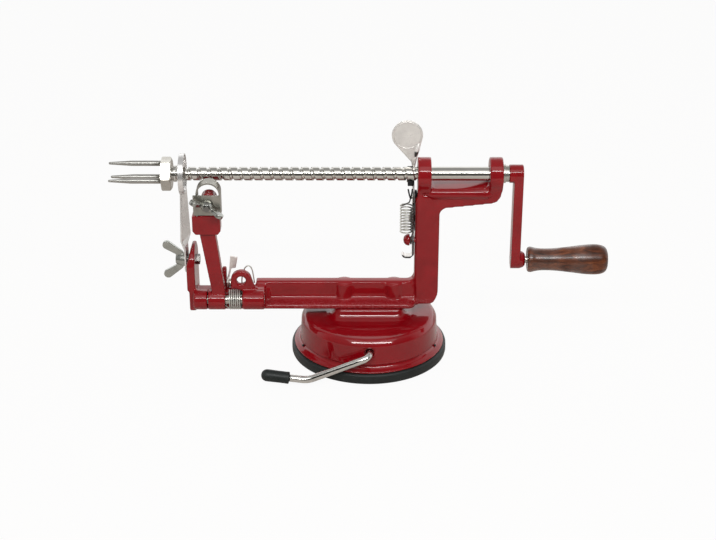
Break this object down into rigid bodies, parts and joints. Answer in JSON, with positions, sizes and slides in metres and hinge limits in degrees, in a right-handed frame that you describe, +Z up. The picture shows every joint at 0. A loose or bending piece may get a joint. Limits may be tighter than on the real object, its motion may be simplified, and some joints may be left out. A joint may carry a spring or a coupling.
{
  "type": "apple peeler",
  "caption": "Hand-cranked apple peeler, corer and slicer: fruit fork on a feed screw, sprung peeling arm, ring coring blade, wooden crank grip and lever-operated suction base.",
  "frame": {"origin": "centre of the suction pad's underside, on the table", "axes": "+X along the feed screw from the fork to the crank, +Y away from the user, +Z up from the table"},
  "size_m": [0.3448, 0.1142, 0.1697],
  "materials": {
    "frame_enamel": "semi-gloss deep red enamel on cast metal",
    "base_enamel": "glossy deep red enamel",
    "black_rubber": "satin black",
    "plated_steel": "nickel plated",
    "sheet_steel": "rolled sheet, nickel plated",
    "spring_steel": "bright spring wire",
    "screw_steel": "polished plating",
    "dark_iron": "blackened",
    "bright_chrome": "polished",
    "dark_wood": "varnished reddish brown hardwood"
  },
  "bodies": {
    "frame": {"frame_casting": "frame_enamel", "base_shell": "base_enamel", "suction_pad": "black_rubber", "base_screws": "plated_steel", "arm_pivot_pin": "plated_steel", "latch_stud": "frame_enamel", "latch_pivot_screw": "plated_steel", "arm_latch_bolt": "plated_steel", "coring_bolt": "plated_steel", "latch_spring": "spring_steel", "arm_spring": "spring_steel"},
    "feed_carrier": {"thrust_washer": "plated_steel"},
    "screw": {"feed_screw": "screw_steel", "drive_shaft": "screw_steel", "fork_neck": "screw_steel", "fork_hub": "screw_steel", "fork_prongs": "screw_steel", "crank_arm": "frame_enamel", "crank_pin": "plated_steel", "grip_spindle": "plated_steel"},
    "grip": {"wooden_grip": "dark_wood"},
    "release_latch": {"release_plate": "sheet_steel", "half_nut": "dark_iron", "half_nut_rivets": "plated_steel"},
    "peeling_arm": {"peel_arm": "frame_enamel", "peel_blade": "sheet_steel", "peel_blade_bolt": "plated_steel"},
    "blade_nut": {"peel_wing_nut": "plated_steel"},
    "hold_open_latch": {"arm_latch": "sheet_steel"},
    "corer": {"coring_blade": "sheet_steel"},
    "corer_nut": {"coring_wing_nut": "plated_steel"},
    "lever": {"suction_lever": "bright_chrome", "lever_cap": "black_rubber", "lever_cam": "plated_steel"},
    "pad_pull": {"pull_stem": "plated_steel"}
  },
  "joints": [
    {"name": "screw_feed", "type": "slide", "parent": "frame", "child": "feed_carrier", "axis": [1, 0, 0], "range_m": [0, 0.14]},
    {"name": "crank_turn", "type": "hinge", "parent": "feed_carrier", "child": "screw", "pos_m": [0, 0, 0.1346], "axis": [1, 0, 0], "range_deg": [0, 7200]},
    {"name": "grip_spin", "type": "hinge", "parent": "screw", "child": "grip", "pos_m": [0.135, 0, 0.07], "axis": [1, 0, 0], "continuous": true},
    {"name": "latch_release", "type": "hinge", "parent": "frame", "child": "release_latch", "pos_m": [0.0304, 0.0025, 0.101], "axis": [-1, 0, 0], "range_deg": [0, 7], "stiffness_Nm_per_rad": 0.4, "springref_deg": -8.59, "deforming": ["latch_spring"]},
    {"name": "arm_swing", "type": "hinge", "parent": "frame", "child": "peeling_arm", "pos_m": [-0.106, -0.016, 0.0465], "axis": [1, 0, 0], "range_deg": [0, 45], "stiffness_Nm_per_rad": 0.12, "springref_deg": -28.65, "deforming": ["arm_spring"]},
    {"name": "blade_nut_turn", "type": "hinge", "parent": "peeling_arm", "child": "blade_nut", "pos_m": [-0.1096, -0.024, 0.1206], "axis": [0, -1, 0], "continuous": true},
    {"name": "hold_open_turn", "type": "hinge", "parent": "frame", "child": "hold_open_latch", "pos_m": [-0.0994, 0, 0.052], "axis": [1, 0, 0], "range_deg": [0, 15]},
    {"name": "corer_swivel", "type": "hinge", "parent": "frame", "child": "corer", "pos_m": [-0.128, 0, 0.0703], "axis": [1, 0, 0], "range_deg": [-6, 6]},
    {"name": "corer_nut_turn", "type": "hinge", "parent": "frame", "child": "corer_nut", "pos_m": [-0.132, 0, 0.0703], "axis": [-1, 0, 0], "continuous": true},
    {"name": "lever_turn", "type": "hinge", "parent": "frame", "child": "lever", "pos_m": [0, -0.02, 0.0212], "axis": [0, 1, 0], "range_deg": [0, 180]},
    {"name": "pad_lift", "type": "slide", "parent": "frame", "child": "pad_pull", "axis": [0, 0, 1], "range_m": [0, 0.0032], "deforming": ["suction_pad"]}
  ],
  "couplings": [
    {"joint": "screw_feed", "follows": "crank_turn", "m_per_rad": 0.0011141},
    {"joint": "lever_turn", "follows": "pad_lift", "rad_per_m": 981.75}
  ]
}
